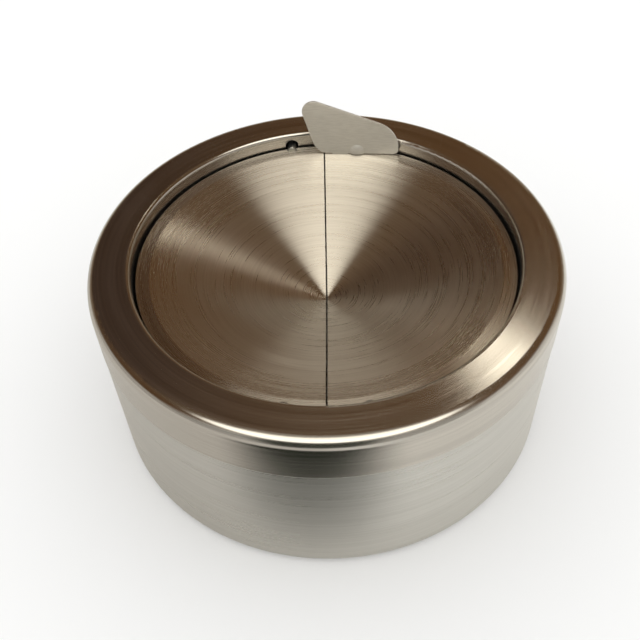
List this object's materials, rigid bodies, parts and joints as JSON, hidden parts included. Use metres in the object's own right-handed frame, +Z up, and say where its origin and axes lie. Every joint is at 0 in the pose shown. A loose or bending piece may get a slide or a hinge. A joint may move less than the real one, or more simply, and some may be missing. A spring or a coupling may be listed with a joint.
{
  "type": "tilting-lid ashtray",
  "caption": "Round tabletop ashtray bin: a closed tub under a ring cover whose dished lid is split into flaps that tip inwards when a thumb tab is pressed.",
  "frame": {"origin": "centre of the base, on the table", "axes": "+Z up, +Y towards the rear, where the thumb tab stands; the flaps meet on the plane X = 0"},
  "size_m": [0.13, 0.13, 0.0707],
  "materials": {
    "tub_steel": "brushed round the wall",
    "cover_steel": "spun, brushed round the ring",
    "flap_steel": "spun, fine concentric lines",
    "tab_steel": "satin",
    "pin_steel": "plain drawn",
    "pad_rubber": "matt"
  },
  "bodies": {
    "tub": {"tub": "tub_steel", "base_pad": "pad_rubber"},
    "cover": {"cover_ring": "cover_steel", "left_flap_rest": "cover_steel", "right_flap_rest": "cover_steel"},
    "right_flap": {"right_flap": "flap_steel", "thumb_tab": "tab_steel", "right_rear_pin": "pin_steel", "right_front_pin": "pin_steel"},
    "left_flap": {"left_flap": "flap_steel", "left_rear_pin": "pin_steel", "left_front_pin": "pin_steel"}
  },
  "joints": [
    {"name": "cover_lift", "type": "slide", "parent": "tub", "child": "cover", "axis": [0, 0, 1], "range_m": [0, 0.06]},
    {"name": "right_flap_tilt", "type": "hinge", "parent": "cover", "child": "right_flap", "pos_m": [0.0103, 0, 0.052], "axis": [0, -1, 0], "range_deg": [0, 37]},
    {"name": "left_flap_tilt", "type": "hinge", "parent": "cover", "child": "left_flap", "pos_m": [-0.0103, 0, 0.052], "axis": [0, 1, 0], "range_deg": [0, 37]}
  ],
  "couplings": [
    {"joint": "left_flap_tilt", "follows": "right_flap_tilt", "ratio": 1}
  ]
}
